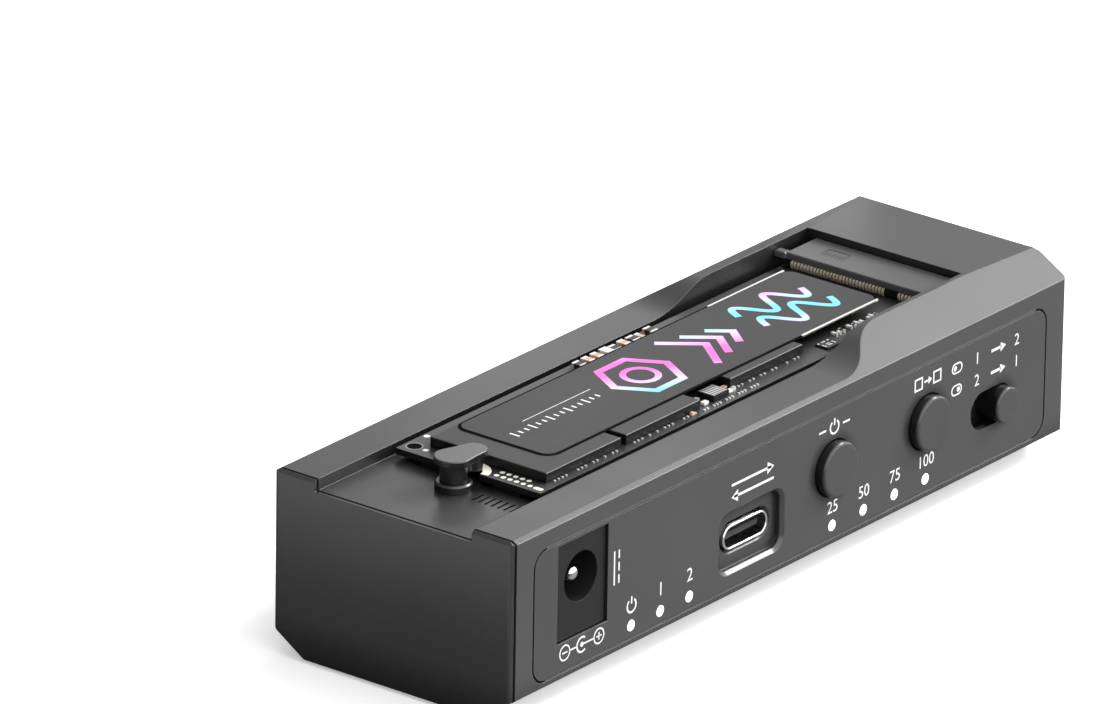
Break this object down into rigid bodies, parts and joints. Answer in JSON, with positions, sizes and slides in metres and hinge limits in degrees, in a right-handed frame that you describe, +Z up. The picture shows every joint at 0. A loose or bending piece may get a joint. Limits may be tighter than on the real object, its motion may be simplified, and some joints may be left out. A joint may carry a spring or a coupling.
{
  "type": "drive duplicator",
  "caption": "Bar-shaped drive dock with a raised socket end, an open bay for a stick drive held by a turning latch, round buttons, a slide switch, power and data sockets.",
  "frame": {"origin": "middle of the footprint of the bar, on the sole of the rubber pad", "axes": "+X along the bar from the open bay end to the raised socket end, -Y out of the front with the buttons, +Z up"},
  "size_m": [0.1108, 0.0427, 0.0269],
  "materials": {
    "housing_grey": "fine satin moulded plastic, dark space grey",
    "panel_grey": "satin moulded plastic, a shade darker than the housing",
    "foot_rubber": "matte black rubber",
    "screw_steel": "black zinc plated steel",
    "board_black": "black solder mask over glass cloth laminate",
    "chip_black": "moulded epoxy chip package",
    "lamp_white": "white lamp housing",
    "light_clear": "milky clear light pipe",
    "socket_black": "glass filled black plastic",
    "contact_gold": "gold plated spring bronze",
    "plate_grey": "satin grey plate",
    "shell_steel": "nickel plated pressed steel",
    "jack_black": "moulded black plastic",
    "pin_nickel": "nickel plated brass pin",
    "control_grey": "satin moulded plastic",
    "latch_black": "moulded black nylon",
    "drive_board_grey": "dark solder mask",
    "drive_chip_grey": "moulded epoxy chip package",
    "label_grey": null,
    "capacitor_tan": "ceramic chip capacitors and coils"
  },
  "bodies": {
    "dock": {"top_housing": "housing_grey", "bottom_cover": "housing_grey", "front_panel": "panel_grey", "rubber_pad": "foot_rubber", "housing_screws": "screw_steel", "board_screws": "screw_steel", "main_board": "board_black", "upper_board": "board_black", "board_link": "socket_black", "bridge_chip": "chip_black", "copy_chip": "chip_black", "board_lights": "lamp_white", "m2_socket": "socket_black", "m2_contacts": "contact_gold", "connector_plate": "plate_grey", "sata_socket": "socket_black", "sata_contacts": "contact_gold", "usb_c_shell": "shell_steel", "usb_c_tongue": "socket_black", "dc_jack_body": "jack_black", "dc_jack_pin": "pin_nickel", "dc_jack_spring": "contact_gold", "slide_switch": "socket_black", "latch_base": "latch_black", "drive_board": "drive_board_grey", "drive_memory_1": "drive_chip_grey", "drive_memory_2": "drive_chip_grey", "drive_controller": "drive_chip_grey", "drive_label": "label_grey", "drive_small_parts": "capacitor_tan", "power_switch": "socket_black", "copy_switch": "socket_black", "light_pipe_1": "light_clear", "light_pipe_2": "light_clear", "light_pipe_3": "light_clear", "light_pipe_4": "light_clear", "light_pipe_5": "light_clear", "light_pipe_6": "light_clear", "light_pipe_7": "light_clear"},
    "power_button": {"power_button": "control_grey", "power_plunger": "socket_black"},
    "copy_button": {"copy_button": "control_grey", "copy_plunger": "socket_black"},
    "mode_knob": {"slide_knob": "control_grey"},
    "latch": {"latch_knob": "latch_black"}
  },
  "joints": [
    {"name": "power_button_press", "type": "slide", "parent": "dock", "child": "power_button", "axis": [0, 1, 0], "range_m": [0, 0.0005], "stiffness_N_per_m": 2000},
    {"name": "copy_button_press", "type": "slide", "parent": "dock", "child": "copy_button", "axis": [0, 1, 0], "range_m": [0, 0.0005], "stiffness_N_per_m": 2000},
    {"name": "mode_knob_slide", "type": "slide", "parent": "dock", "child": "mode_knob", "axis": [1, 0, 0], "range_m": [-0.0034, 0]},
    {"name": "latch_turn", "type": "hinge", "parent": "dock", "child": "latch", "pos_m": [-0.0438, 0, 0.0245], "axis": [0, 0, 1], "range_deg": [0, 120]}
  ]
}
